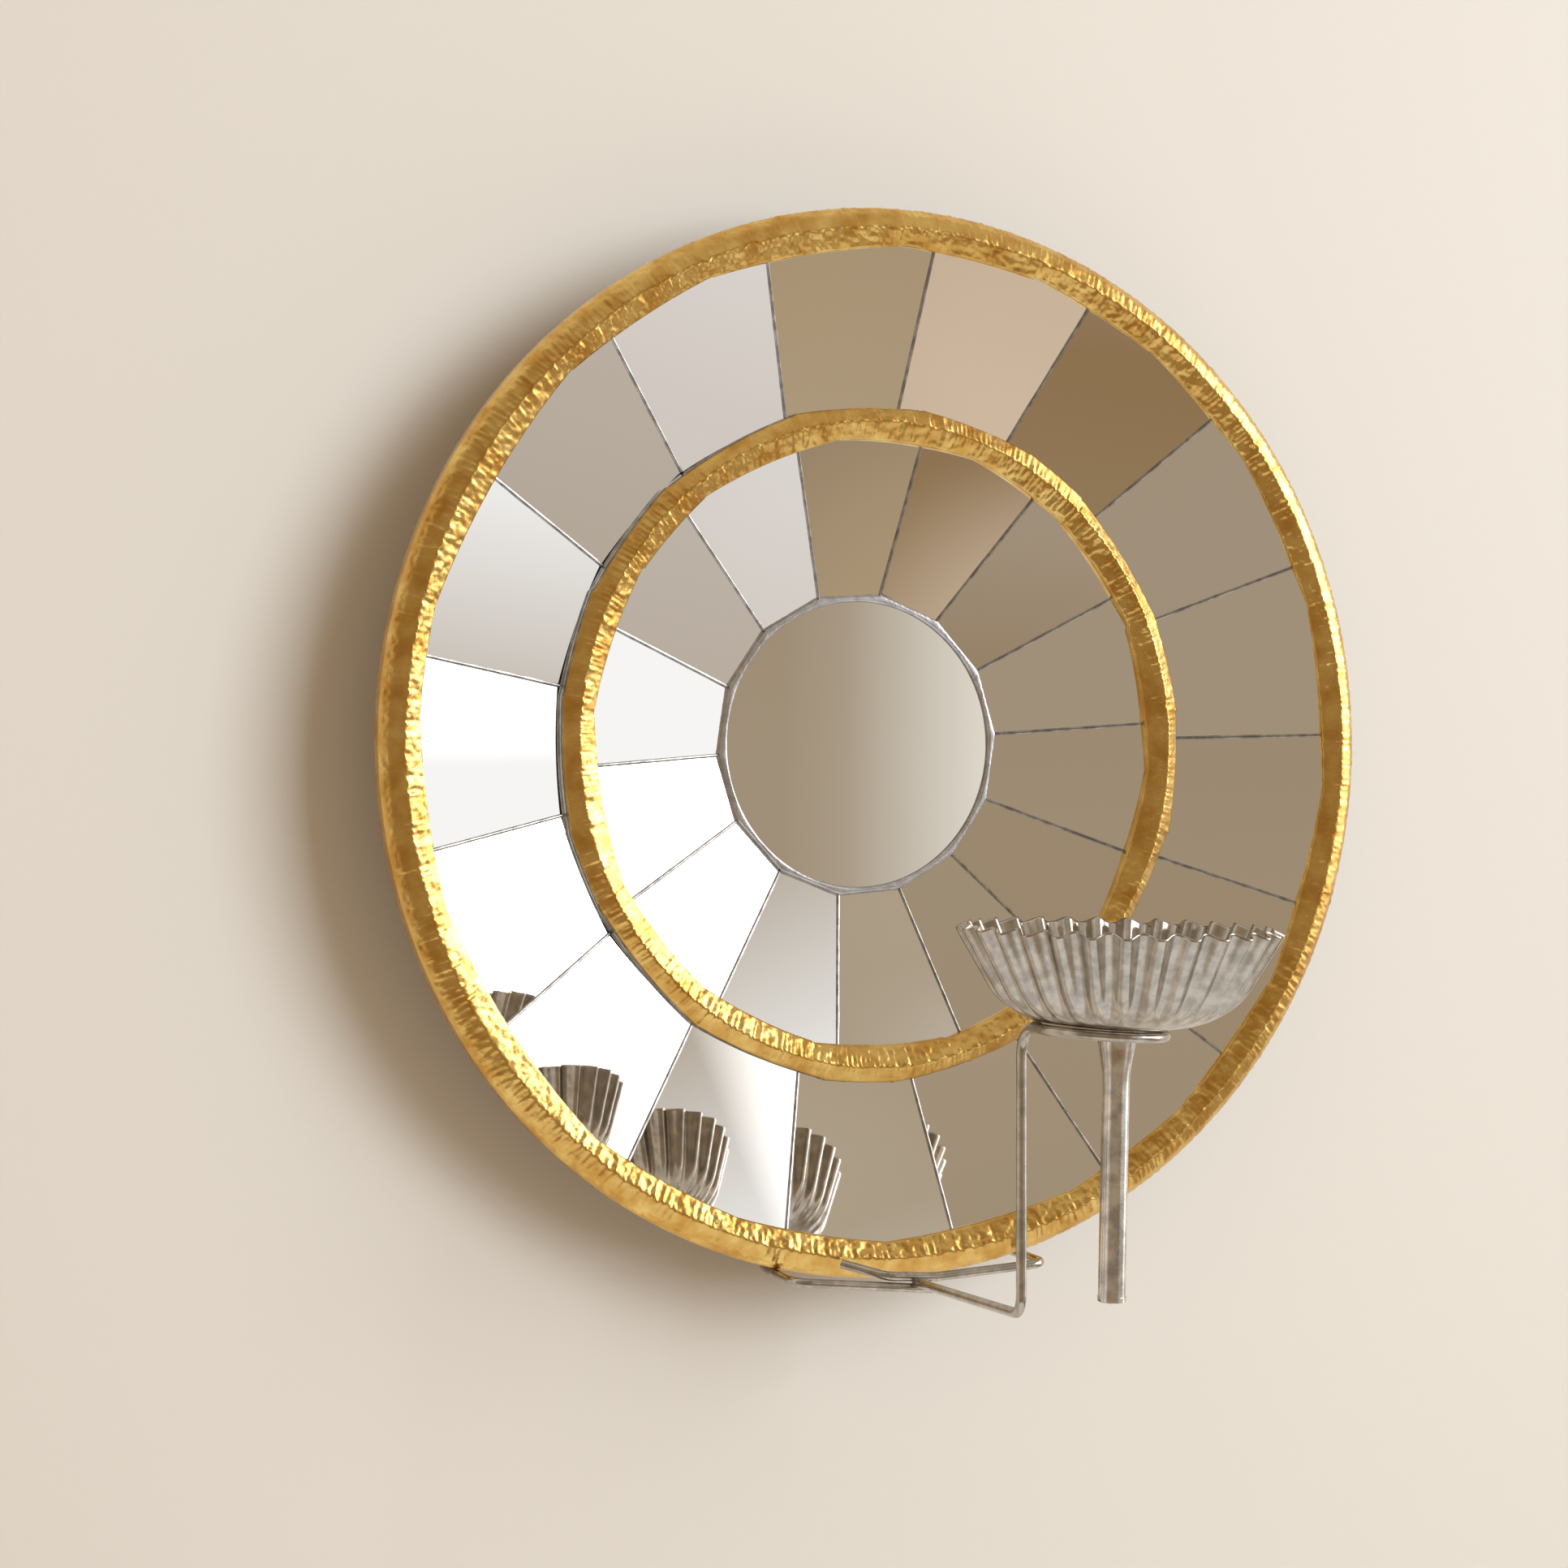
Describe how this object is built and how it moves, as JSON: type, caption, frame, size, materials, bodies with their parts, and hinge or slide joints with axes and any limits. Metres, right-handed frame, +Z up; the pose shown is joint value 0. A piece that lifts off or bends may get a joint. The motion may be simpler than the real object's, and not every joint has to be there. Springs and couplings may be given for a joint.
{
  "type": "wall mirror with candle holder",
  "caption": "Round dished wall mirror of flat glass facets between two hammered gilt rings, with a fluted candle pan that lifts out of a wire ring on a bracket under the rim.",
  "frame": {"origin": "centre of the felt disc's back face, on the mirror's axis, where the mirror rests on the wall", "axes": "+X to the right as seen from the room, +Y into the wall, +Z up"},
  "size_m": [0.3799, 0.2356, 0.3831],
  "materials": {
    "mirror_glass": "silvered glass, slightly aged",
    "gilt_brass": "hammered, gilded",
    "lead": "dull lead",
    "dark_wood": "stained, satin",
    "felt": "felt",
    "plated_steel": "brass-plated",
    "tinned_steel": "tinned, satin",
    "solder": "solder"
  },
  "bodies": {
    "mirror": {"outer_dish": "dark_wood", "inner_dish": "dark_wood", "felt_disc": "felt", "outer_rim": "gilt_brass", "inner_ring": "gilt_brass", "ring_side_strip": "lead", "outer_seams": "lead", "inner_seams": "lead", "centre_frame": "lead", "centre_mirror": "mirror_glass", "hanger_strap": "plated_steel", "hanger_screws": "plated_steel", "wire_clips": "plated_steel", "clip_screws": "plated_steel", "left_leg_wire": "tinned_steel", "right_leg_wire": "tinned_steel", "stop_wire": "tinned_steel", "candle_ring_wire": "tinned_steel", "braze_joint": "solder", "outer_facet_01": "mirror_glass", "outer_facet_02": "mirror_glass", "outer_facet_03": "mirror_glass", "outer_facet_04": "mirror_glass", "outer_facet_05": "mirror_glass", "outer_facet_06": "mirror_glass", "outer_facet_07": "mirror_glass", "outer_facet_08": "mirror_glass", "outer_facet_09": "mirror_glass", "outer_facet_10": "mirror_glass", "outer_facet_11": "mirror_glass", "outer_facet_12": "mirror_glass", "outer_facet_13": "mirror_glass", "outer_facet_14": "mirror_glass", "outer_facet_15": "mirror_glass", "outer_facet_16": "mirror_glass", "outer_facet_17": "mirror_glass", "inner_facet_01": "mirror_glass", "inner_facet_02": "mirror_glass", "inner_facet_03": "mirror_glass", "inner_facet_04": "mirror_glass", "inner_facet_05": "mirror_glass", "inner_facet_06": "mirror_glass", "inner_facet_07": "mirror_glass", "inner_facet_08": "mirror_glass", "inner_facet_09": "mirror_glass", "inner_facet_10": "mirror_glass", "inner_facet_11": "mirror_glass", "inner_facet_12": "mirror_glass", "inner_facet_13": "mirror_glass", "inner_facet_14": "mirror_glass"},
    "candle_holder": {"drip_pan": "tinned_steel", "candle_tube": "tinned_steel", "tube_cap": "tinned_steel"},
    "hanging_ring": {"hanging_ring": "plated_steel"}
  },
  "joints": [
    {"name": "candle_holder_lift", "type": "slide", "parent": "mirror", "child": "candle_holder", "axis": [0.0218, 0, 0.9998], "range_m": [0, 0.09]},
    {"name": "hanging_ring_swing", "type": "hinge", "parent": "mirror", "child": "hanging_ring", "pos_m": [0, -0.00743, 0.09254], "axis": [-1, 0, 0], "range_deg": [0, 150]}
  ]
}
